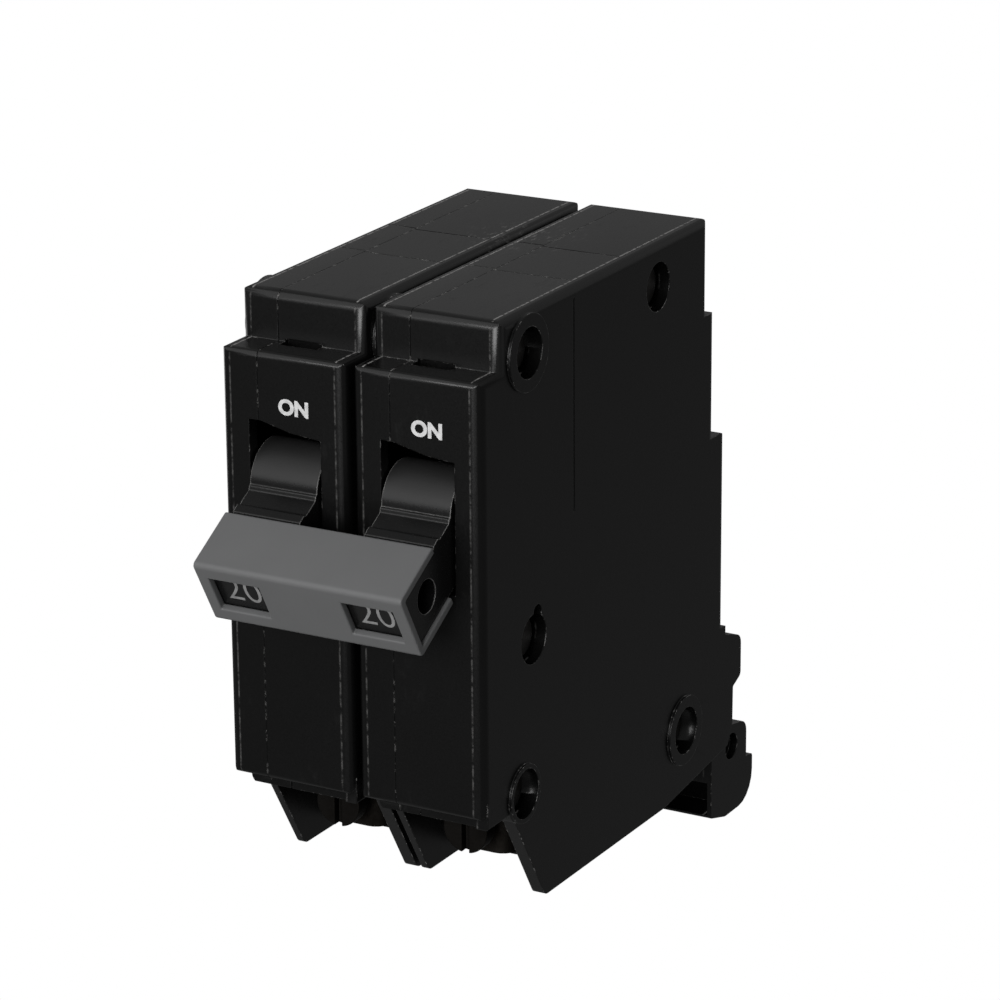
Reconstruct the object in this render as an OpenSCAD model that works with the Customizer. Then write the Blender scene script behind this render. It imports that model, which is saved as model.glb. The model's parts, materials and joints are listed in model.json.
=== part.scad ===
// Two-pole plug-on circuit breaker, 3/4 inch per pole, with a handle tie.
// X runs across the poles, the handles face -Y, and +Z is up.
// The origin is the centre of the flat back face, on the plane between the two poles.
// Inside each pole, x starts at its left face, y at the nose and z at the nose's top.

/* [Poles] */
// Width of one pole, three quarters of an inch
pole_pitch = 19.05; // [19:0.05:19.1]
// Side walls stand in from the pole's full width by this much
side_inset = 0.4; // [0.3:0.05:0.45]
// Thickness of the left cover shell, up to the parting plane
cover_w = 5.9; // [5.7:0.1:6]
// Thickness of the shells' side and front walls
wall = 1.5; // [1.4:0.1:1.6]
// Seam between cover and base
seam = 0.06; // [0.04:0.01:0.08]

/* [Case profile] */
// Height of the upper block above the nose
upper_h = 7.4; // [7.2:0.1:7.5]
// Set-back of the upper block behind the nose
upper_setback = 5.2; // [5:0.1:5.4]
// Height of the nose below its top edge
nose_h = 56.2; // [56:0.1:56.4]
// Depth from the nose to the flat back face
back_y = 68.4; // [68.2:0.1:68.6]

/* [Handle] */
// Radius of the handle's drum
drum_r = 5.1; // [4.9:0.1:5.2]
// Width of the handle
handle_w = 9.8; // [9.4:0.1:9.9]
// Angle of the lever below the horizontal when off
lever_angle = 30; // [28:1:31]
// Length of the lever from its pivot to the end face
lever_l = 17.95; // [17.8:0.05:18.1]
// Bore through the two levers for an accessory pin
pin_bore_r = 2.2; // [1.8:0.1:2.4]

/* [Tie] */
// Length of the tie across both handles
tie_l = 29.7; // [29.2:0.1:29.9]
// Thickness of the tie's three plates
tie_wall = 1.05; // [0.9:0.05:1.1]

/* [Terminals] */
// Radius of the wire hole in each lug
wire_r = 2.8; // [2.4:0.1:2.9]
// Radius of the lug screw's shank
screw_r = 2.2; // [2:0.05:2.3]

/* [Hidden] */

LEFT = 0;
RIGHT = 1;
ARC_STEPS = 5;      // straight steps in each rounded corner of an outline
ROUND = 48;         // steps in a full circle
BIG = 200;          // longer than the breaker, for cutting tools
TOUCH = 0.01;       // overlap that welds one solid's own pieces

back_face_z = -38.85;                 // middle of the flat back face
pole_l = side_inset;                  // left side wall's outer face
pole_r = pole_pitch - side_inset;     // right side wall's outer face
inner_l = pole_l + wall - 0.35;       // cover's inner face
inner_r = pole_r - wall;              // base's inner face
base_x = cover_w + seam;              // where the base starts
shoulder_z = 0.95;                    // flat shoulder just above the nose
floor_z = -57.3;                      // underside of the case over the wire bay
bay_back_y = 26;                      // back of the wire bay
mid_x = 9.75;                         // handle, contacts and lug share this plane
handle_l = mid_x - handle_w / 2;
handle_r = mid_x + handle_w / 2;
pivot = [4.5, -16.7];                 // handle pivot, as [y, z]
trunnion_r = 1.5;
running_gap = 0.05;                   // radial clearance of every running fit
window_z = [-26.7, -8];               // handle window, low and high
window_side = 0.3;                    // gap beside the handle in its window

// Rivet places, as [y, z, ring radius on the case side]
rivets = [[11.8, 2, 5], [47.4, 1.6, 0], [13.2, -35.9, 0], [10.3, -55.8, 3.9], [55.7, -63, 4.9]];
rivet_r = 1.6;
rivet_head_r = 2.7;
rivet_head_h = 1.2;
well_r = 3.3;                         // counterbore over each rivet head
well_depth = 3.3;

arm_pivot = [20, -21];
arm_open = 12;                        // degrees between open and closed
stud_r = 1.5;
cradle_pivot = [27, -34];
bar_axis = [40.5, -50];
bar_r = 1.6;
armature_foot = [44.2, -60];
contact_y = 43.3;
contact_r = 2.2;
contact_z = -10;                      // face of the fixed contact
contact_gap = 0.3;                    // left between the closed contacts
arm_top = -12.4;                      // top of the closed arm at its tip
strap_z = -8;                         // underside of the line strap
lug_y = 19.5;                         // wire hole's axis
lug_size = [8.4, 8.4];
lug_z = [-67.3, floor_z];
lug_screw_z = -62.8;
strip_x = [6, 12.5];                  // load strap and bimetal

// Side view of the pole behind the nose, as [y, z, corner radius]
body_outline = [
    [upper_setback, upper_h, 1.3], [62.6, upper_h, 1.3], [62.6, -5.2, 0.4], [64.9, -6.8, 0.4],
    [64.9, -22.8, 0.4], [back_y, -24.5, 0.4], [back_y, -53.3, 0.3], [73.4, -54.9, 1.6],
    [73.4, -60.8, 0.9], [71, -61.8, 0.4], [70.9, -67.6, 0.2], [76.1, -68.6, 1.9],
    [76.1, -74.1, 0.2], [78.1, -74.3, 0.5], [78.1, -80.9, 4.3], [69.5, -80.9, 2],
    [65, -79.6, 0.4], [65, -70.6, 0.2], [50, -72.4, 0.3], [15.9, -72, 1.3],
    [6.9, floor_z, 0.2], [upper_setback, floor_z, 0]];

// Hollow inside the two shells, as [y, z, corner radius]
hollow_outline = [
    [1.8, -0.9, 0.5], [7, -0.9, 0], [7, 5.4, 0.5], [60.9, 5.4, 0.5], [60.9, -6.6, 0],
    [63.2, -8.2, 0], [63.2, -24, 0.5], [66.6, -25.8, 0.5], [66.6, -68, 0.5], [60, -69.4, 0.5],
    [27.6, -70.3, 0.5], [27.6, -55.5, 0.5], [1.8, -55.5, 0.5]];

function unit(v) = v / norm(v);

// Points that replace corner b of an outline with an arc of radius r
function corner_arc(a, b, c, r) =
    let(u = unit(a - b), v = unit(c - b), half = acos(u * v) / 2)
    let(centre = b + unit(u + v) * r / sin(half), reach = r / tan(half))
    let(from = b + u * reach - centre, to = b + v * reach - centre)
    let(start = atan2(from.y, from.x), turn = atan2(to.y, to.x) - start)
    let(sweep = turn > 180 ? turn - 360 : turn < -180 ? turn + 360 : turn)
    [for (i = [0:ARC_STEPS]) centre + r * [cos(start + sweep * i / ARC_STEPS),
                                           sin(start + sweep * i / ARC_STEPS)]];

// Outline with each [x, y, radius] corner rounded to its own radius
function rounded(p) = let(n = len(p)) [for (i = [0:n - 1])
    each p[i].z == 0 ? [[p[i].x, p[i].y]]
        : corner_arc([p[(i + n - 1) % n].x, p[(i + n - 1) % n].y], [p[i].x, p[i].y],
                     [p[(i + 1) % n].x, p[(i + 1) % n].y], p[i].z)];

// Corners of a rectangle, each with one radius: low left, low right, high right, high left
function rectangle(low, high, r) = [[low.x, low.y, r[0]], [high.x, low.y, r[1]],
                                    [high.x, high.y, r[2]], [low.x, high.y, r[3]]];

// A side view [y, z] drawn out along X, a front view [x, z] along Y, a plan [x, y] along Z
module along_x(x0, x1) translate([x0, 0, 0]) rotate([90, 0, 90]) linear_extrude(x1 - x0) children();
module along_y(y0, y1) translate([0, y1, 0]) rotate([90, 0, 0]) linear_extrude(y1 - y0) children();
module along_z(z0, z1) translate([0, 0, z0]) linear_extrude(z1 - z0) children();
module span(x, y, z) translate([x[0], y[0], z[0]]) cube([x[1] - x[0], y[1] - y[0], z[1] - z[0]]);
module rod_x(r, x0, x1, at)
    translate([x0, at[0], at[1]]) rotate([0, 90, 0]) cylinder(r = r, h = x1 - x0, $fn = ROUND);
module rod_y(r, y0, y1, x, z)
    translate([x, y1, z]) rotate([90, 0, 0]) cylinder(r = r, h = y1 - y0, $fn = ROUND);

// Moves one pole's piece to its place in the breaker
module in_pole(side) translate([(side - 1) * pole_pitch, -back_y, -back_face_z]) children();

// Turns a side-view shape about a point [y, z]; positive lowers what is in front of it
module turned(at, angle)
    translate([0, at[0], at[1]]) rotate([angle, 0, 0]) translate([0, -at[0], -at[1]]) children();

// Lever frame: local -Y runs out along the lever, local Z is its top
module on_lever() translate([0, pivot[0], pivot[1]]) rotate([lever_angle, 0, 0]) children();

// ---- Case ----

// Nose that the handle comes out of, with rounded edges all round
module nose() {
    intersection() {
        along_x(0, pole_pitch) polygon(rounded(rectangle([0, -nose_h], [12, shoulder_z], [0.9, 0, 0, 0.9])));
        along_z(-BIG, BIG) polygon(rounded(rectangle([pole_l, 0], [pole_r, 12], [1.5, 1.5, 0, 0])));
        along_y(-1, 13)
            polygon(rounded(rectangle([pole_l, -nose_h], [pole_r, shoulder_z], [1.5, 1.3, 1, 1])));
    }
}

// Plans of the body at three levels, because its back steps out on the way down
module body_plan() {
    levels = [[-5.9, BIG, 62.6], [-23.6, -5.9 + TOUCH, 64.9], [-52, -23.6 + TOUCH, back_y]];
    for (level = levels)
        along_z(level[0], level[1])
            polygon(rounded(rectangle([pole_l, upper_setback], [pole_r, level[2]], [1.5, 1.5, 2, 2])));
    along_z(-BIG, -52 + TOUCH)
        polygon(rounded(rectangle([pole_l, upper_setback], [pole_r, 90], [0.3, 0.3, 0, 0])));
}

// Whole outside of a pole, before it is split into cover and base
module pole_solid() {
    nose();
    intersection() {
        along_x(0, pole_pitch) polygon(rounded(body_outline));
        body_plan();
        along_y(0, 90) polygon(rounded(rectangle([pole_l, -90], [pole_r, upper_h], [0, 0, 1.3, 1.3])));
    }
    // Bottom wall, which shows as a thin band under the nose
    along_y(1, 10) polygon(rounded(rectangle([2.9, floor_z - 0.3], [pole_r, -54], [1.3, 0.3, 0, 0])));
}

// Handle window as [x, z]; its top edge drops where the base meets the cover
window_l = handle_l - window_side;
window_r = handle_r + window_side;
handle_window = [[window_l, window_z[0]], [window_r, window_z[0]], [window_r, window_z[1] - 1.5],
                 [mid_x + 1, window_z[1] - 1.1], [base_x + 0.3, window_z[1]], [window_l, window_z[1]]];

// Solids that both shells lose: handle window, stab slot and rivet holes
module case_cuts() {
    along_y(-1, 4) polygon(handle_window);
    span([mid_x - 3.4, mid_x + 3.4], [60, 67], [-21.4, -8.4]);
    for (r = rivets) rod_x(rivet_r + 0.05, -1, pole_pitch + 1, r);
    for (r = rivets) rod_x(well_r, -1, cover_w - well_depth, r);
    for (r = rivets) rod_x(well_r, pole_pitch - well_depth, pole_pitch + 1, r);
}

// Tubes that stand round each rivet inside a shell, from x0 to x1
module rivet_tubes(x0, x1, r) for (at = rivets) rod_x(r, x0, x1, at);

// Proud rings round some rivet holes, where neighbouring poles touch
module side_rings(x0, x1) for (at = rivets) if (at[2] > 0) rod_x(at[2], x0, x1, at);

// Fine seams across the top, where the vent piece is moulded in
module top_seams(x0, x1, shift) for (y = [26.2 + shift, 39.1 + shift])
    span([x0, x1], [y, y + 0.25], [upper_h - 0.25, upper_h + 1]);

module base(side) color([0.16, 0.16, 0.17]) in_pole(side) difference() {
    union() {
        difference() {
            intersection() {
                pole_solid();
                span([base_x, BIG], [-1, BIG], [-BIG, BIG]);
            }
            along_x(0, inner_r) polygon(rounded(hollow_outline));
            // Wire bay between this shell's fin and the cover's
            span([0, pole_r - 1.75], [-1, bay_back_y], [-BIG, floor_z]);
            // Pocket in the front of the foot
            span([0, pole_r - 0.9], [64, 70], [-79.2, -74.4]);
            top_seams(base_x - 1, pole_r - 1.2, 0);
        }
        rivet_tubes(pole_pitch - well_depth - 1.2, pole_r - TOUCH, 4);
        rivet_tubes(base_x, pole_r - TOUCH, 2.6);
        side_rings(pole_r - 1.6, pole_pitch);
        rod_x(3, handle_r + 0.4, inner_r + TOUCH, pivot);
        rod_x(stud_r, 6.5, inner_r + TOUCH, arm_pivot);
        rod_x(2.3, 12.4, inner_r + TOUCH, arm_pivot);
        rod_x(stud_r, 12.6, inner_r + TOUCH, cradle_pivot);
        rod_x(2.4, 15.3, inner_r + TOUCH, cradle_pivot);
        // Ribs that hold the line strap and the calibration screw
        span([strip_x[1], inner_r + TOUCH], [50.6, 52], [-19, -9]);
        span([7.5, inner_r + TOUCH], [55, 57.5], [-46, -40]);
    }
    case_cuts();
    rod_x(trunnion_r + running_gap, handle_r, inner_r + 0.3, pivot);
    rod_y(1.05, 50, 60, mid_x, -43);
    // Slot in the shoulder at the foot of the upper block
    span([6.9, 12.3], [3.8, 6], [0.1, 1.3]);
    // Notch in the bottom wall, and the slot that the load strap leaves by
    span([8.7, 9], [0, 1.4], [floor_z - 1, -56.4]);
    span([0, strip_x[1] + 0.1], [20, 30], [-64.9, -63.3]);
    // Edge of the label recess, and the round recess beside the hook
    span([pole_r - 0.12, BIG], [23.9, 24.2], [-22.2, 5.9]);
    rod_x(1.9, pole_r - 1.5, BIG, [71.3, -70.9]);
    // Lobe of the keyhole over the middle rivet, and the foot's set-back side
    rod_x(1.1, pole_r - 1.5, BIG, [14.2, -32.7]);
    along_x(pole_r - 0.3, BIG) polygon([
        [64, -71.5], [65, -70.6], [69.5, -70.05], [71.5, -66],
        [90, -66], [90, -90], [64, -90]]);
    if (side == LEFT) rod_x(bar_r + running_gap, 12, BIG, bar_axis);
}

module cover(side) color([0.17, 0.17, 0.18]) in_pole(side) difference() {
    union() {
        difference() {
            intersection() {
                pole_solid();
                span([-1, cover_w], [-1, BIG], [-BIG, BIG]);
            }
            along_x(inner_l, BIG) polygon(rounded(hollow_outline));
            span([pole_l + 1, BIG], [-1, bay_back_y], [-BIG, floor_z]);
            top_seams(pole_l + 1.2, BIG, 0.6);
        }
        rivet_tubes(pole_l + TOUCH, cover_w - well_depth + 1.2, 4);
        rivet_tubes(pole_l + TOUCH, cover_w, 2.6);
        side_rings(0, pole_l + 1.5);
        rod_x(3, inner_l - TOUCH, handle_l - 0.4, pivot);
    }
    case_cuts();
    rod_x(trunnion_r + running_gap, inner_l - 0.3, handle_l, pivot);
    span([strip_x[0] - 0.2, BIG], [20, 30], [-64.9, -63.3]);
    if (side == RIGHT) rod_x(bar_r + running_gap, -1, 3, bar_axis);
}

// Five rivets hold both poles together, with a head in the well at each end
module case_rivets() color("silver") in_pole(LEFT) for (at = rivets) {
    x0 = cover_w - well_depth;
    x1 = 2 * pole_pitch - well_depth;
    rod_x(rivet_r, x0 - rivet_head_h, x1 + rivet_head_h, at);
    difference() {
        union() {
            rod_x(rivet_head_r, x0 - rivet_head_h, x0, at);
            rod_x(rivet_head_r, x1, x1 + rivet_head_h, at);
        }
        rod_x(0.9, x0 - 2, x0 - 0.5, at);
        rod_x(0.9, x1 + 0.5, x1 + 2, at);
    }
}

// ---- Handles and tie ----

// Lever with a drum that closes the window, as [y, z, radius] in the lever frame
handle_outline = [
    [0, -5, 0], [-4, -5.5, 2], [-lever_l, -5.5, 0.8], [-lever_l, 2.55, 0.5], [-9.2, 2.55, 0],
    [-9, 2.8, 0.1], [-7.8, 2.85, 0.15], [-7.4, 2.45, 0.1], [-4.9, 2.45, 0.1],
    [-4.55, 2.85, 0.12], [-4, 2.85, 0], [0, 2.5, 0]];

module handle(side) color([0.2, 0.2, 0.21]) in_pole(side) {
    on_lever() difference() {
        union() {
            along_x(handle_l, handle_r) circle(r = drum_r, $fn = 96);
            along_x(handle_l, handle_r) polygon(rounded(handle_outline));
            // Tail that drives the contact arm
            along_x(mid_x - 2, mid_x + 2)
                polygon(rounded([[0, -1.5, 0], [10, -1, 0.9], [10, 1, 0.9], [0, 1.5, 0]]));
        }
        rod_x(pin_bore_r, 0, pole_pitch, [-13.6, -1.3]);
    }
    rod_x(trunnion_r, inner_l + 0.1, inner_r - 0.1, pivot);
}

// Channel over both levers: top, front and bottom plates, open at the ends
tie_top = 3.6;
tie_low = -6.6;
tie_back = 9.8;
tie_front = lever_l + tie_wall;
tie_outline = [
    [-tie_back, tie_low, 0.2], [-tie_front, tie_low, 0.7], [-tie_front, tie_top, 0.7],
    [-tie_back, tie_top, 0.3],
    [-tie_back, tie_top - tie_wall, 0.2], [-lever_l, tie_top - tie_wall, 0.2],
    [-lever_l, tie_low + tie_wall, 0.2], [-tie_back, tie_low + tie_wall, 0.2]];
rating_window = [7.3, 5.6];
rating_window_z = -1.5;

module handle_tie() color([0.42, 0.42, 0.43]) in_pole(LEFT) on_lever() difference() {
    middle = mid_x + pole_pitch / 2;
    along_x(middle - tie_l / 2, middle + tie_l / 2) polygon(rounded(tie_outline));
    for (side = [LEFT, RIGHT])
        translate([mid_x - 0.1 + side * pole_pitch, 0, rating_window_z])
            along_y(-tie_front - 1, -lever_l + 0.5) square(rating_window, center = true);
}

// ---- Trip mechanism ----

// Common bar: turns in both poles' touching walls and pushes both armatures
module trip_bar() color("ivory") in_pole(LEFT) {
    rod_x(bar_r, 7, pole_pitch + 12, bar_axis);
    for (x = [mid_x, mid_x + pole_pitch])
        along_x(x - 2, x + 2)
            polygon(rounded([[39.3, -50, 0], [41.7, -50, 0], [43.2, -44, 0.6],
                [43.2, -42, 0.3], [42, -42, 0.3]]));
}

// Blade that carries the moving contact, drawn closed and then opened
module contact_arm(side) color("peru") in_pole(side) turned(arm_pivot, -arm_open) difference() {
    union() {
        rod_x(3.2, 7.2, 12.2, arm_pivot);
        along_x(7.2, 12.2) polygon(rounded([
            [18.6, -18.6, 0], [21.5, -23.6, 0], [33, -15.4, 2], [46, -14.2, 0.6],
                                            [46, arm_top, 0.4], [32, arm_top, 2]]));
    }
    rod_x(stud_r + running_gap, 5, 14, arm_pivot);
}

module moving_contact(side) color("gainsboro") in_pole(side) turned(arm_pivot, -arm_open)
    translate([mid_x, contact_y, arm_top])
        cylinder(r = contact_r, h = contact_z - contact_gap - arm_top, $fn = ROUND);

module fixed_contact(side) color("gainsboro") in_pole(side)
    translate([mid_x, contact_y, contact_z]) cylinder(r = contact_r, h = strap_z - contact_z, $fn = ROUND);

// Angle of copper from the fixed contact back to the jaw
module line_strap(side) color("peru") in_pole(side) along_x(strip_x[0], strip_x[1])
    polygon(rounded([[40.6, strap_z, 0.3], [50.6, strap_z, 0.4], [50.6, -20.6, 0.3], [52, -20.6, 0.3],
                     [52, strap_z + 1.4, 1.2], [40.6, strap_z + 1.4, 0.3]]));

// Clip that grips the panel's stab, drawn in plan as [x, y, radius]
module stab_jaw(side) color("peru") in_pole(side)
    along_z(-20.4, -9.4) translate([mid_x, 52, 0]) polygon(rounded([
    [-2.9, 0, 0.6], [2.9, 0, 0.6], [2.9, 6, 0.5], [2.3, 8.8, 0.5], [3, 11.6, 0.2], [2.3, 11.8, 0.1],
    [1.55, 8.8, 0.5], [2.1, 6, 0.5], [2.1, 1, 0.3], [-2.1, 1, 0.3], [-2.1, 6, 0.5], [-1.55, 8.8, 0.5],
    [-2.3, 11.8, 0.1], [-3, 11.6, 0.2], [-2.3, 8.8, 0.5], [-2.9, 6, 0.5]]));

// Steel clip that squeezes the jaw from outside
module jaw_spring(side) color("silver") in_pole(side) along_z(-18.4, -11.4) translate([mid_x, 52, 0])
    for (s = [0, 1]) mirror([s, 0, 0])
        polygon(rounded([[2.95, 0.6, 0.2], [3.35, 0.6, 0.2], [3.35, 6, 0.4],
            [2.8, 8.7, 0.2], [2.36, 8.7, 0.1], [2.95, 6, 0.4]]));

// Four steel plates, notched round the arm's tip, that cool and split the arc
module arc_plates(side) color("slategray") in_pole(side) for (i = [0:3])
    along_z(-20.4 + 3 * i, -19.6 + 3 * i)
        polygon(rounded([[2.4, 40.6, 0.5], [5.4, 40.6, 0.5], [6.2, 47.8, 0.8],
            [13.4, 47.8, 0.8], [14.2, 40.6, 0.5],
            [inner_r, 40.6, 0.5], [inner_r, 49.6, 0.5], [2.4, 49.6, 0.5]]));

// Torsion spring round the arm's stud: five turns and two legs
module arm_spring(side) color("silver") in_pole(side) {
    wire = 0.45;
    for (i = [0:4]) translate([12.9 + i * 0.8, arm_pivot[0], arm_pivot[1]]) rotate([0, 90, 0])
        rotate_extrude($fn = ROUND) translate([3.3, 0]) circle(r = wire, $fn = 16);
    rod_y(wire, arm_pivot[0], arm_pivot[0] + 9, 12.9, arm_pivot[1] - 3.3);
    rod_y(wire, arm_pivot[0] - 8, arm_pivot[0], 16.1, arm_pivot[1] - 3.3);
}

module cradle(side) color("lightsteelblue") in_pole(side) difference() {
    along_x(13, 15) polygon(rounded([
        [24.4, -36.6, 1.2], [24, -31.6, 1.5], [28, -30.8, 1.5], [43.2, -37.6, 0.4],
        [43.2, -39.6, 0.4], [32, -38.4, 3]]));
    rod_x(stud_r + running_gap, 12, 16, cradle_pivot);
}

// Plate that the magnet pulls, with a tab that the cradle latches on
module armature(side) color("slategray") in_pole(side) {
    span([5, 12.5], [43.6, 44.8], [-60, -38]);
    span([12.5 - TOUCH, 15], [43.6, 44.8], [-42, -38]);
}

// U of steel round the bimetal
module magnet_yoke(side) color("slategray") in_pole(side) along_z(-54, -46)
    polygon(rounded([
        [4.2, 46.6, 0.2], [5.4, 46.6, 0.2], [5.4, 51, 0.3], [13.1, 51, 0.3],
        [13.1, 46.6, 0.2], [14.3, 46.6, 0.2],
        [14.3, 52.2, 0.8], [4.2, 52.2, 0.8]]));

module bimetal(side) color("tan") in_pole(side) span(strip_x, [50, 51], [-63.5, -40]);

// Copper strip from the bimetal's foot to the back of the lug
module load_strap(side) color("peru") in_pole(side)
    span(strip_x, [lug_y + lug_size[1] / 2, 51.2], [-64.7, -63.5]);

// Braid from the bimetal's top towards the arm's hub
BRAID_R = 1;
BRAID_SIDES = 10;
braid_path = [
    [49, -41.5], [47.4, -37.6], [44, -34.6], [39, -31],
    [33.5, -28.8], [29, -28.2], [24.8, -27.6], [21.6, -25.5]];

// Smooth point at t along the braid, t from 0 to its last point's number
function braid_at(t) = let(n = len(braid_path) - 1, i = min(floor(t), n - 1), f = t - i)
    let(p0 = braid_path[max(i - 1, 0)], p1 = braid_path[i],
        p2 = braid_path[i + 1], p3 = braid_path[min(i + 2, n)])
    0.5 * (2 * p1 + f * (p2 - p0) + f * f * (2 * p0 - 5 * p1 + 4 * p2 - p3)
        + f * f * f * (3 * p1 - p0 - 3 * p2 + p3));

module braid(side) color("chocolate") in_pole(side) {
    steps = 24;
    last = len(braid_path) - 1;
    middle = [for (i = [0:steps]) braid_at(last * i / steps)];
    tangent = [for (i = [0:steps]) unit(middle[min(i + 1, steps)] - middle[max(i - 1, 0)])];
    rings = [for (i = [0:steps], k = [0:BRAID_SIDES - 1]) let(a = 360 * k / BRAID_SIDES)
        [mid_x + BRAID_R * cos(a),
            middle[i].x - tangent[i].y * BRAID_R * sin(a),
            middle[i].y + tangent[i].x * BRAID_R * sin(a)]];
    sides = [for (i = [0:steps - 1], k = [0:BRAID_SIDES - 1])
        let(a = i * BRAID_SIDES, b = (k + 1) % BRAID_SIDES)
        [a + k, a + b, a + BRAID_SIDES + b, a + BRAID_SIDES + k]];
    ends = [[for (k = [BRAID_SIDES - 1:-1:0]) k], [for (k = [0:BRAID_SIDES - 1]) steps * BRAID_SIDES + k]];
    polyhedron(rings, concat(sides, ends));
}

// ---- Terminals ----

// Barrel-cornered lug with a wire hole from below and a screw from the front
module lug(side) color([0.3, 0.27, 0.25]) in_pole(side) difference() {
    half = lug_size / 2;
    along_z(lug_z[0], lug_z[1])
        polygon(rounded(rectangle(
            [mid_x - half.x, lug_y - half.y], [mid_x + half.x, lug_y + half.y], [2.4, 2.4, 0.6, 0.6])));
    translate([mid_x, lug_y, lug_z[0] - 1]) cylinder(r = wire_r, h = 9.3, $fn = ROUND);
    rod_y(screw_r + running_gap, 10, lug_y, mid_x, lug_screw_z);
}

module lug_screw(side) color([0.35, 0.33, 0.3]) in_pole(side) difference() {
    union() {
        rod_y(screw_r, 11, lug_y - wire_r - 0.1, mid_x, lug_screw_z);
        rod_y(3.2, 10.8, 13, mid_x, lug_screw_z);
    }
    span([mid_x - 0.5, mid_x + 0.5], [10, 11.9], [-90, -50]);
}

// Screw that sets the bimetal, threaded into a rib of the base
module calibration_screw(side) color("silver") in_pole(side) {
    rod_y(1.03, 51, 59, mid_x, -43);
    rod_y(1.9, 58.2, 59.6, mid_x, -43);
}

base(LEFT);  // base_left
base(RIGHT);  // base_right
cover(LEFT);  // cover_left
cover(RIGHT);  // cover_right
case_rivets();
handle(LEFT);  // handle_left
handle(RIGHT);  // handle_right
handle_tie();
trip_bar();
contact_arm(LEFT);  // contact_arm_left
contact_arm(RIGHT);  // contact_arm_right
moving_contact(LEFT);  // moving_contact_left
moving_contact(RIGHT);  // moving_contact_right
fixed_contact(LEFT);  // fixed_contact_left
fixed_contact(RIGHT);  // fixed_contact_right
line_strap(LEFT);  // line_strap_left
line_strap(RIGHT);  // line_strap_right
stab_jaw(LEFT);  // stab_jaw_left
stab_jaw(RIGHT);  // stab_jaw_right
jaw_spring(LEFT);  // jaw_spring_left
jaw_spring(RIGHT);  // jaw_spring_right
arc_plates(LEFT);  // arc_plates_left
arc_plates(RIGHT);  // arc_plates_right
arm_spring(LEFT);  // arm_spring_left
arm_spring(RIGHT);  // arm_spring_right
cradle(LEFT);  // cradle_left
cradle(RIGHT);  // cradle_right
armature(LEFT);  // armature_left
armature(RIGHT);  // armature_right
magnet_yoke(LEFT);  // magnet_yoke_left
magnet_yoke(RIGHT);  // magnet_yoke_right
bimetal(LEFT);  // bimetal_left
bimetal(RIGHT);  // bimetal_right
braid(LEFT);  // braid_left
braid(RIGHT);  // braid_right
load_strap(LEFT);  // load_strap_left
load_strap(RIGHT);  // load_strap_right
lug(LEFT);  // lug_left
lug(RIGHT);  // lug_right
lug_screw(LEFT);  // lug_screw_left
lug_screw(RIGHT);  // lug_screw_right
calibration_screw(LEFT);  // calibration_screw_left
calibration_screw(RIGHT);  // calibration_screw_right
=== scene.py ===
# %% [markdown]
# # Plug-on circuit breaker with tied handles
# The imported model gives every solid its exact size and place. This script adds what a solid
# can't hold: smooth corners, moulded plastic, coated steel, bare metals, lettering and wear.
# First the model and its record are loaded.

# %% Load the model
import json
import math

import bpy
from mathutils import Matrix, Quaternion, Vector


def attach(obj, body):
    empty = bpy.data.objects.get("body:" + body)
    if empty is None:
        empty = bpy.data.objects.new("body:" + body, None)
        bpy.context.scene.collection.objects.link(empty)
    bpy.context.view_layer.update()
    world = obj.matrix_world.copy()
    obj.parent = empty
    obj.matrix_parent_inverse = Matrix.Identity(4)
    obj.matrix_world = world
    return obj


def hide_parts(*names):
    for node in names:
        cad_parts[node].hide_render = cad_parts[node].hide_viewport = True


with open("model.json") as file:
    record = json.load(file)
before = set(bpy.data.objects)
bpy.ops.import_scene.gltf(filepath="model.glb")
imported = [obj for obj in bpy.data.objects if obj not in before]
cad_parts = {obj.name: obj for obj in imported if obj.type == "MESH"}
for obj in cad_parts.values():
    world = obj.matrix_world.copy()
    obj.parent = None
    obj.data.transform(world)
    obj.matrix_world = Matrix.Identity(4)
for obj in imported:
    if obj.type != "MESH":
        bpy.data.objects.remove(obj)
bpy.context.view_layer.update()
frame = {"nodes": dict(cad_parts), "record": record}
nodes = frame["nodes"]

# %% [markdown]
# Numbers here are in millimetres, as on a drawing, and `MM` turns them into Blender's metres.
# Inside each pole, x starts at its left face, y at the nose and z at the nose's top;
# `in_pole` turns such a point into a point of the model.

# %% Places
MM = 0.001
PITCH = 19.05
BACK = 68.4
BACK_MIDDLE = -38.85
POLES = {"left": -PITCH, "right": 0.0}


def in_pole(pole, x, y, z):
    """A point of one pole, in millimetres, as a point of the model in metres."""
    return Vector((x + POLES[pole], y - BACK, z - BACK_MIDDLE)) * MM


print("nose corner of the left pole:", [round(c, 4) for c in in_pole("left", 0, 0, 0)])

# %% [markdown]
# ## Camera
# A long lens from the right and a little above shows both fronts, the right side and the top.
# The camera is turned to look along its line of sight, then rolled by a fraction of a degree.

# %% Camera
AZIMUTH, ELEVATION, ROLL = (math.radians(angle) for angle in (29.102, 18.374, -0.441))
forward = Vector((-math.sin(AZIMUTH) * math.cos(ELEVATION),
                  math.cos(AZIMUTH) * math.cos(ELEVATION), -math.sin(ELEVATION)))
camera = bpy.data.objects.new("camera", bpy.data.cameras.new("camera"))
bpy.context.scene.collection.objects.link(camera)
bpy.context.scene.camera = camera
camera.data.lens = 150.87
camera.data.clip_start = 0.01
camera.data.shift_x, camera.data.shift_y = 0.0003, 0.0002
camera.location = (0.25572, -0.48966, 0.18576)
camera.rotation_mode = "QUATERNION"
camera.rotation_quaternion = forward.to_track_quat("-Z", "Y") @ Quaternion((0, 0, 1), ROLL)
print("the camera looks along", [round(c, 3) for c in forward])

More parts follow.
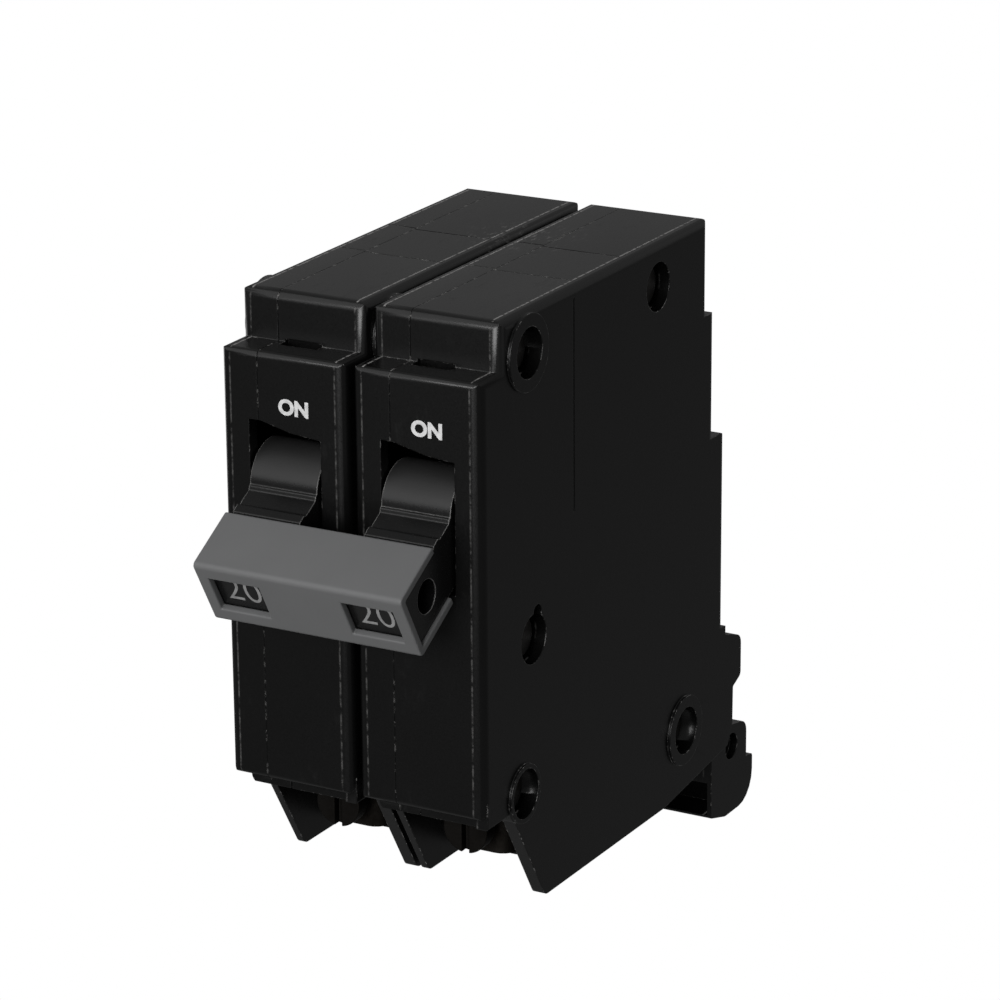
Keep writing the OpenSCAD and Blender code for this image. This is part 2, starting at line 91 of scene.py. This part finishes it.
# %% [markdown]
# ## Tools for shaders
# A shader's sums read best as sums. `Value` wraps one socket and overloads the operators, so
# `1 - mask` adds the Math node that does it. `Shader` makes a material round one Principled
# surface, and its one method `node` adds any other node from its type, settings and inputs.


# %% Value: one socket that can be used in a sum
class Value:
    """A socket in a shader. Adding, subtracting, multiplying, % and abs add Math nodes."""

    def __init__(self, shader, socket):
        self.shader, self.socket = shader, socket

    def _math(self, operation, first, second):
        return self.shader.node("ShaderNodeMath", {"operation": operation}, {0: first, 1: second})

    def __add__(self, other):
        return self._math("ADD", self, other)

    def __sub__(self, other):
        return self._math("SUBTRACT", self, other)

    def __rsub__(self, other):
        return self._math("SUBTRACT", other, self)

    def __mul__(self, other):
        return self._math("MULTIPLY", self, other)

    __radd__ = __add__
    __rmul__ = __mul__

    def __mod__(self, other):
        return self._math("FLOORED_MODULO", self, other)

    def __abs__(self):
        return self._math("ABSOLUTE", self, 0)

    def between(self, low, high):
        """0 where the value is below low, 1 above high, and smooth from one to the other."""
        values = {"Value": self, "From Min": low, "From Max": high}
        return self.shader.node("ShaderNodeMapRange", {"interpolation_type": "SMOOTHSTEP"}, values)


print("sums that a Value knows:", "a + b, a - b, a * b, a % b, abs(a), a.between(low, high)")


# %% Shader: a material and the one way to add nodes to it
class Shader:
    """A material with one Principled surface. Settings that are the same all over go on it."""

    def __init__(self, name, **surface):
        self.material = bpy.data.materials.new(name)
        self.material.use_nodes = True
        self.tree = self.material.node_tree
        self.surface = self.tree.nodes["Principled BSDF"]
        self.fill(self.surface, {key.replace("_", " "): value for key, value in surface.items()})
        self.metres = self.node("ShaderNodeTexCoord", output="Object")
        self.mm = self.node("ShaderNodeMapping", values={"Vector": self.metres, "Scale": [1000] * 3})

    def fill(self, node, values):
        """Sets a node's inputs: a Value is linked, and anything else is a plain setting."""
        for name, value in values.items():
            if isinstance(value, Value):
                self.tree.links.new(value.socket, node.inputs[name])
            else:
                node.inputs[name].default_value = value

    def node(self, kind, settings=None, values=None, output=0):
        """Adds a node and gives back one of its outputs."""
        node = self.tree.nodes.new(kind)
        for name, value in (settings or {}).items():
            setattr(node, name, value)
        self.fill(node, values or {})
        return Value(self, node.outputs[output])

    def noise(self, scale, detail=3.0, stretch=(1, 1, 1), rough=0.5):
        """Noise from 0 to 1 with this many features per millimetre along each axis."""
        values = {"Vector": self.mm, "Scale": [scale * s for s in stretch]}
        place = self.node("ShaderNodeMapping", values=values)
        return self.node("ShaderNodeTexNoise", values={"Vector": place, "Scale": 1.0, "Detail": detail,
                                                       "Roughness": rough})

    def mix(self, factor, first, second):
        """The first colour where the factor is 0, and the second where it is 1."""
        return self.node("ShaderNodeMix", {"data_type": "RGBA"}, {0: factor, 6: first, 7: second}, output=2)


def grey(level, warmth=0.0):
    """A grey, a little warmer or cooler than neutral, as a colour."""
    return (level * (1 + warmth), level, level * (1 - warmth), 1)


print("a warm grey:", [round(part, 3) for part in grey(0.5, 0.02)])

# %% [markdown]
# ## Masks
# A mask is a value that is 1 where a finish shows and 0 elsewhere. These find a place by what
# the surface knows about itself: how far it reaches along a direction, which way it faces, how
# far it is from a point or from a line across the poles.

# %% Masks by place and direction
TO_FRONT, TO_TOP = (0, -1, 0), (0, 0, 1)
ALONG_X, ALONG_Y = (1, 0, 0), (0, 1, 0)


def along(shader, vector, direction):
    """How far a vector reaches along a direction."""
    return shader.node("ShaderNodeVectorMath", {"operation": "DOT_PRODUCT"}, {0: vector, 1: direction},
                       output="Value")


def flat_normal(shader):
    """The way the surface faces."""
    return shader.node("ShaderNodeNewGeometry", output="Normal")


def faces(shader, direction, low=0.9, high=0.97):
    """1 where the surface faces a direction, and 0 where it turns away from it."""
    return along(shader, flat_normal(shader), direction).between(low, high)


def distance(shader, place, point):
    """Distance in millimetres from a place on the surface to a point."""
    return shader.node("ShaderNodeVectorMath", {"operation": "DISTANCE"}, {0: place, 1: tuple(point)},
                       output="Value")


def round_axis(shader, centre):
    """Distance in millimetres from a line that runs along X through a point."""
    side = shader.node("ShaderNodeVectorMath", {"operation": "MULTIPLY"}, {0: shader.mm, 1: (0, 1, 1)})
    return distance(shader, side, (0, centre[1], centre[2]))


print("a face that turns", round(math.degrees(math.acos(0.9))), "degrees away is masked out")

# %% [markdown]
# Real edges are never sharp. A Bevel node gives the direction that the surface would have if
# its edges were rounded. Where that differs from the flat face's own direction there is an
# edge, and that makes the mask for wear. The same soft direction also carries the fine relief.


# %% Soft edges, worn edges and relief
def soft_normal(shader, radius):
    """The surface's direction as if every sharp edge were rounded to this many millimetres."""
    return shader.node("ShaderNodeBevel", {"samples": 8}, {"Radius": radius * MM})


def edges(shader, radius, low=0.03, high=0.25):
    """1 on sharp edges, inside and out, and 0 on open faces."""
    return (1 - along(shader, soft_normal(shader, radius), flat_normal(shader))).between(low, high)


def relief(shader, height, depth, strength=1.0, radius=0.2):
    """Relief this many millimetres deep, over softened edges."""
    return shader.node("ShaderNodeBump", values={"Height": height, "Distance": depth * MM,
                                                 "Strength": strength,
                                                 "Normal": soft_normal(shader, radius)})


print("an edge shows wear from", round(math.degrees(math.acos(1 - 0.03))), "degrees of turn")

# %% [markdown]
# ## Moulded plastic
# The case is a near-black phenolic moulding: satin, faintly cloudy, with a fine grain that
# breaks up its reflections. Where the mould halves met, and on rims and corners, the skin is
# chipped and rubbed to a pale grey. The edge mask finds those places, and a coarse noise
# leaves only some of them worn, so the flecks look accidental.
#
# The case has three marks of its own. A thin pale line runs where the front and top faces
# turn into the rounded corners: partly rubbed wear, and partly a painted highlight that stands
# in for the light a small lip there would catch. The fine groove on each pole's side stays
# clean, and the right pole's top is scuffed at the edge it shares with the left one. The upper
# side of each handle's drum gets a painted sheen, a pale colour for the light its round top
# catches, which thins out as the drum turns down.

# %% Marks on the case and the painted sheen on the drums
LINE_FROM_MIDDLE = 7.6
GROOVE_Y = 24.05 - BACK
SCUFF, SCUFF_REACH = in_pole("right", 1.7, 42, 7.4) / MM, 13
DRUM_AXIS, DRUM_RADIUS = in_pole("right", 0, 4.5, -16.7) / MM, 5.1


def corner_wear_and_highlight_lines(shader):
    """1 on the lines at a pole's corners: rubbed wear and a painted highlight."""
    across = abs(along(shader, shader.mm, ALONG_X) % PITCH - PITCH / 2)
    return 1 - abs(across - LINE_FROM_MIDDLE).between(0.05, 0.2)


def clean_groove(shader):
    """0 beside the fine groove on a pole's side, and 1 everywhere else."""
    return abs(along(shader, shader.mm, ALONG_Y) - GROOVE_Y).between(0.5, 0.7)


def case_wear(shader, chips, spots):
    """The chips on the edges, less in front and more on top, with the corner lines and the scuff."""
    front, top = faces(shader, TO_FRONT), faces(shader, TO_TOP)
    chips = chips * clean_groove(shader) * (1 - 0.5 * front + top)
    # The corner lines add pale colour: rubbed wear and a painted highlight, stronger on the tops.
    chips = chips + corner_wear_and_highlight_lines(shader) * (front * 0.3 + top * 1.3) * spots.between(0.33, 0.6)
    away = distance(shader, shader.mm, SCUFF).between(0.2 * SCUFF_REACH, SCUFF_REACH)
    streaks = shader.noise(1.1, 6, (1.6, 0.5, 1), 0.7).between(0.5, 0.68)
    return (chips + streaks * (1 - away) * 0.5).between(0, 1)


def drum_painted_sheen(shader, cloud):
    """A painted sheen: pale colour on a drum's upward-facing round top."""
    on_drum = 1 - round_axis(shader, DRUM_AXIS).between(DRUM_RADIUS - 0.08, DRUM_RADIUS + 0.1)
    return on_drum * faces(shader, TO_TOP, 0.15, 0.7) * (3.6 + 3 * cloud)


print("the drums turn about y, z =", [round(c, 2) for c in DRUM_AXIS[1:]])


# %% Plastic
def moulded(name, dark, rough, shine, fleck, worn=(0.5, 0.6), on_case=False, on_handle=False):
    """A satin moulding. Its flecks show where a coarse noise rises through the worn range."""
    shader = Shader(name, Specular_IOR_Level=shine)
    cloud = shader.noise(0.11, 4)
    grain = shader.noise(3.2, 5, rough=0.6)
    rub = shader.noise(0.9, 4, (1, 0.35, 0.35), 0.6)
    spots = shader.noise(1.1, 5, rough=0.7)
    chips = edges(shader, 0.3) * spots.between(*worn)
    haze_and_painted_sheen = rub.between(0.55, 0.8) * cloud.between(0.45, 0.7)
    if on_case:
        chips = case_wear(shader, chips, spots)
    if on_handle:
        haze_and_painted_sheen = haze_and_painted_sheen + drum_painted_sheen(shader, cloud)
    skin = shader.mix(cloud, grey(dark * 0.8, 0.02), grey(dark * 1.25, -0.02))
    # Pale colour from rubbed haze, and on the handles a painted sheen on the drums' upper sides.
    skin = shader.mix(haze_and_painted_sheen * 0.25, skin, grey(dark * 4))
    shader.fill(shader.surface, {
        "Base Color": shader.mix(chips, skin, grey(fleck, 0.02)),
        "Roughness": rough + (grain - 0.5) * 0.16 + haze_and_painted_sheen * 0.12 + chips * 0.2,
        "Normal": relief(shader, grain * 0.6 + rub * 0.4, 0.02, 0.35, 0.22)})
    return shader.material


case_plastic = moulded("case_plastic", 0.003, 0.3, 0.48, 0.34, (0.5, 0.62), on_case=True)
handle_plastic = moulded("handle_plastic", 0.005, 0.25, 0.48, 0.34, (0.3, 0.5), on_handle=True)
print("made", case_plastic.name, "and", handle_plastic.name)

# %% [markdown]
# ## Coated and bare metals
# The tie is folded steel with a flat grey coat, slightly pebbled, and lighter on its folds and
# edges: partly rubbed coat, partly a painted highlight.
# Every bare metal is one recipe: a base colour, fine lines along the way it was rolled or
# drawn, dull patches where it has oxidised, and brighter rubbed edges.


# %% Metals
def coated(name, level):
    """Steel under a flat grey coat."""
    shader = Shader(name, Specular_IOR_Level=0.3)
    pebble = shader.noise(2.4, 3)
    cloud = shader.noise(0.14, 4)
    # Paler folds and edges: partly rubbed coat, partly a painted highlight.
    lighter_edges = edges(shader, 0.35) * shader.noise(0.8, 4).between(0.3, 0.6)
    skin = shader.mix(cloud, grey(level * 0.93, -0.01), grey(level * 1.07, -0.01))
    shader.fill(shader.surface, {
        "Base Color": shader.mix(lighter_edges * 0.5, skin, grey(level * 1.6)),
        "Roughness": 0.46 + (pebble - 0.5) * 0.2 + (cloud - 0.5) * 0.1,
        "Normal": relief(shader, pebble, 0.02, 0.25, 0.25)})
    return shader.material


def bare(name, bright, dull, rough, grain=(0.3, 3, 3)):
    """Bare metal. Its lines run along the axis that has the smallest number in its grain."""
    shader = Shader(name, Metallic=1.0)
    lines = shader.noise(1.6, 4, grain)
    patches = shader.noise(0.35, 5, rough=0.6).between(0.35, 0.7)
    lighter_edges = edges(shader, 0.2)
    skin = shader.mix(patches, bright, dull)
    shader.fill(shader.surface, {
        "Base Color": shader.mix(lighter_edges * 0.5, skin, bright),
        "Roughness": rough + (lines - 0.5) * 0.2 + patches * 0.15,
        "Normal": relief(shader, lines, 0.01, 0.2, 0.15)})
    return shader.material


# %% Every finish by its name in the record
UPRIGHT_GRAIN = (3, 3, 0.3)
FINISHES = {
    "case": case_plastic,
    "handle": handle_plastic,
    "tie": coated("grey_coat", 0.16),
    "rivet": bare("blackened_steel", grey(0.12, 0.03), grey(0.05, 0.06), 0.42),
    "bar": moulded("ivory_nylon", 0.55, 0.4, 0.5, 0.7),
    "copper": bare("copper", (0.75, 0.36, 0.2, 1), (0.36, 0.17, 0.1, 1), 0.3),
    "silver_contact": bare("silver", grey(0.85, 0.02), grey(0.5, 0.05), 0.28),
    "spring_steel": bare("spring_steel", grey(0.5), grey(0.3, 0.03), 0.3),
    "steel": bare("zinc_steel", grey(0.52, -0.02), grey(0.33), 0.38),
    "bimetal": bare("bimetal", (0.55, 0.5, 0.42, 1), (0.35, 0.31, 0.26, 1), 0.34, UPRIGHT_GRAIN),
    # The lug and its screw are near black: dark steel, darkened further as painted shade for their shaded
    # bay.
    "lug": bare("shade_darkened_lug", grey(0.025, 0.12), grey(0.012, 0.15), 0.55, UPRIGHT_GRAIN),
    "screw": bare("shade_darkened_screw", grey(0.02, 0.08), grey(0.012, 0.1), 0.5),
}
print("finishes:", ", ".join(FINISHES))

# %% [markdown]
# ## Moulded and folded pieces
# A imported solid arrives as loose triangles, so its curved walls shade in flat strips. Each
# piece that shows gets a copy whose triangles are welded and merged into whole faces, then
# shaded smooth across its gentle steps. Small pieces also get a real bevel on their edges.

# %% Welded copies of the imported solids
WELD_GAP = 0.002 * MM
SAME_PLANE, SMOOTH_UP_TO, BEVEL_FROM = (math.radians(angle) for angle in (0.5, 28, 32))


def choose(piece):
    """Selects one piece and nothing else."""
    bpy.ops.object.select_all(action="DESELECT")
    piece.select_set(True)
    bpy.context.view_layer.objects.active = piece


def welded(node, body, slot, bevel=0.0):
    """A smooth-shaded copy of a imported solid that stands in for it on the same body."""
    piece = bpy.data.objects.new(f"{node}_skin", nodes[node].data.copy())
    bpy.context.scene.collection.objects.link(piece)
    choose(piece)
    bpy.ops.object.mode_set(mode="EDIT")
    bpy.ops.mesh.select_all(action="SELECT")
    bpy.ops.mesh.remove_doubles(threshold=WELD_GAP)
    bpy.ops.mesh.dissolve_limited(angle_limit=SAME_PLANE)
    bpy.ops.object.mode_set(mode="OBJECT")
    if bevel:
        soft = piece.modifiers.new("soft edges", "BEVEL")
        soft.width, soft.segments, soft.angle_limit = bevel * MM, 3, BEVEL_FROM
        bpy.ops.object.modifier_apply(modifier=soft.name)
    bpy.ops.object.shade_smooth_by_angle(angle=SMOOTH_UP_TO)
    even = piece.modifiers.new("even shading", "WEIGHTED_NORMAL")
    even.keep_sharp, even.weight = True, 100
    bpy.ops.object.modifier_apply(modifier=even.name)
    piece.data.materials.clear()
    piece.data.materials.append(FINISHES[slot])
    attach(piece, body)
    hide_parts(node)
    return piece


for pole in POLES:
    for shell in ("base", "cover"):
        made = welded(f"{shell}_{pole}", "case", "case")
        print(made.name, len(made.data.polygons), "faces")

# %% Handles, tie, rivets and terminals
for pole in POLES:
    welded(f"handle_{pole}", "handles", "handle", 0.15)
    welded(f"lug_{pole}", "case", "lug", 0.2)
    welded(f"lug_screw_{pole}", f"lug_screw_{pole}", "screw", 0.15)
welded("handle_tie", "handles", "tie", 0.3)
welded("case_rivets", "case", "rivet", 0.15)

# %% [markdown]
# ## Inner pieces
# The contacts, straps, springs and trip parts are exact as they are, so they keep their packed
# solids and only take their finishes. The record says which finish each node has.

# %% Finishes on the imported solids
slot_of = {part["node"]: part["material_slot"] for part in frame["record"]["subparts"]}
for name, node in nodes.items():
    node.material_slots[0].material = FINISHES[slot_of[name]]
print("finished", len(nodes), "nodes")

# %% [markdown]
# ## Lettering
# ON and OFF are printed on each nose, and the current rating on the end of each lever, where
# the tie's windows frame it. Printed ink is a thin film, so each word is a text object turned
# into a mesh and scaled to its real width and height. Its film lies half sunk in its face, so
# it stands 0.03 mm proud.


# %% Ink
def ink(name, level):
    """Matt ink, thinner in patches."""
    shader = Shader(name, Specular_IOR_Level=0.3, Roughness=0.5)
    patches = shader.noise(1.3, 5, rough=0.65)
    cover = patches.between(0.3, 0.62)
    shader.fill(shader.surface, {"Base Color": shader.mix(cover, grey(level * 0.72), grey(level)),
                                 "Normal": relief(shader, patches, 0.01, 0.3, 0.05)})
    return shader.material


WHITE_INK = ink("white_ink", 0.8)
RATING_INK = ink("rating_ink", 0.36)
INK_FILM = 0.06
print("inks:", WHITE_INK.name, RATING_INK.name)


# %% Printing a word
def printed(words, name, body, centre, size, tilt=0.0, weight=0.0, finish=WHITE_INK):
    """Words of a real width and height in millimetres, centred on a front-facing face."""
    bpy.ops.object.select_all(action="DESELECT")
    bpy.ops.object.text_add()
    piece = bpy.context.object
    piece.name = name
    piece.data.body = words
    piece.data.offset = weight
    piece.data.extrude = 0.1
    piece.data.resolution_u = 6
    bpy.ops.object.convert(target="MESH")
    bpy.ops.object.mode_set(mode="EDIT")
    bpy.ops.mesh.select_all(action="SELECT")
    bpy.ops.mesh.remove_doubles(threshold=0.0001)
    bpy.ops.mesh.normals_make_consistent(inside=False)
    bpy.ops.object.mode_set(mode="OBJECT")
    bpy.ops.object.origin_set(type="ORIGIN_GEOMETRY", center="BOUNDS")
    piece.dimensions = (size[0] * MM, size[1] * MM, INK_FILM * MM)
    piece.location = centre
    piece.rotation_euler = (math.radians(90) + tilt, 0, 0)
    bpy.ops.object.transform_apply(location=True, rotation=True, scale=True)
    piece.data.materials.append(finish)
    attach(piece, body)
    return piece


print("a word's film is", INK_FILM, "mm thick")

# %% [markdown]
# The levers hang 30 degrees below level, so a place on a lever's end is found from its pivot:
# so far out along the lever, and so far up from its middle line. The rating is tilted with it.

# %% Words on the noses and ratings on the levers
LEVER_SLOPE = math.radians(30)
PIVOT_Y, PIVOT_Z, LEVER_LENGTH = 4.5, -16.7, 17.95


def on_lever(pole, x, out, up):
    """A point of a lever: this far out from its pivot and up from its middle line."""
    c, s = math.cos(LEVER_SLOPE), math.sin(LEVER_SLOPE)
    return in_pole(pole, x, PIVOT_Y - out * c - up * s, PIVOT_Z - out * s + up * c)


for pole in POLES:
    printed("ON", f"on_{pole}", "case", in_pole(pole, 11.11, 0, -5.77), (4.36, 2.12), weight=0.045)
    printed("OFF", f"off_{pole}", "case", in_pole(pole, 9.0, 0, -30.6), (5.0, 2.1), weight=0.022)
    printed("20", f"rating_{pole}", "handles", on_lever(pole, 9.75, LEVER_LENGTH, -1.0), (5.1, 4.0),
            tilt=LEVER_SLOPE, weight=-0.01, finish=RATING_INK)

# %% [markdown]
# ## Floor and surroundings
# The breaker is shown on a plain pale floor in a dim room. A black satin piece shows the room
# it stands in, so the room is darker than the floor looks: camera rays see a white floor and
# sky, and every other ray sees their true, dimmer light.

# %% Floor
FLOOR_Z = -0.6
bpy.ops.object.select_all(action="DESELECT")
bpy.ops.mesh.primitive_plane_add(size=40, location=(0, 0, FLOOR_Z))
floor = bpy.context.object
floor.name = "floor"
floor_paint = Shader("floor_paint", Roughness=0.9, Specular_IOR_Level=0.0)
floor_paint.fill(floor_paint.surface, {"Base Color": grey(0.42)})
seen = floor_paint.node("ShaderNodeLightPath", output="Is Camera Ray")
white = floor_paint.node("ShaderNodeEmission", values={"Color": grey(1.0), "Strength": 1.0})
look = floor_paint.node("ShaderNodeMixShader", values={
    0: seen, 1: Value(floor_paint, floor_paint.surface.outputs[0]), 2: white})
floor_paint.tree.links.new(look.socket, floor_paint.tree.nodes["Material Output"].inputs["Surface"])
floor.data.materials.append(floor_paint.material)
print("floor at", FLOOR_Z, "m")

# %% Room
ROOM = 0.2
world = bpy.data.worlds.new("room")
bpy.context.scene.world = world
world.use_nodes = True
sky = world.node_tree.nodes["Background"]
path = world.node_tree.nodes.new("ShaderNodeLightPath")
level = world.node_tree.nodes.new("ShaderNodeMapRange")
level.inputs["To Min"].default_value = ROOM
level.inputs["To Max"].default_value = 1.0
world.node_tree.links.new(path.outputs["Is Camera Ray"], level.inputs["Value"])
world.node_tree.links.new(level.outputs[0], sky.inputs["Strength"])
sky.inputs["Color"].default_value = (1, 1, 1, 1)
print("room level", ROOM)

# %% [markdown]
# ## Lights
# Four square soft lights stand round the breaker. The key is low in front, so the tie's top
# and front get the same light. The fill is higher, on the front left, and lights the tops. The
# glint is small and stands where the drums mirror it. The back light lifts the left side and
# the back.

# %% Soft lights
LIT_POINT = Vector((0, -0.035, 0))
LIGHT_DISTANCE = 0.6


def softbox(name, toward, size, power):
    """A square light of this size and power, out along a direction and turned to face in."""
    data = bpy.data.lights.new(name, "AREA")
    data.shape, data.size, data.energy = "SQUARE", size, power
    light = bpy.data.objects.new(name, data)
    bpy.context.scene.collection.objects.link(light)
    aim = Vector(toward).normalized()
    light.location = LIT_POINT + aim * LIGHT_DISTANCE
    light.rotation_euler = aim.to_track_quat("Z", "Y").to_euler()
    return light


softbox("key", (0.1, -0.96, 0.26), 0.3, 2.1)
softbox("fill", (-0.5, -0.6, 0.62), 0.5, 0.63)
softbox("glint", (-0.45, -0.85, 0.27), 0.14, 0.08)
softbox("back", (-0.9, 0.42, 0.05), 0.4, 0.5)
bpy.context.scene.view_settings.view_transform = "Standard"
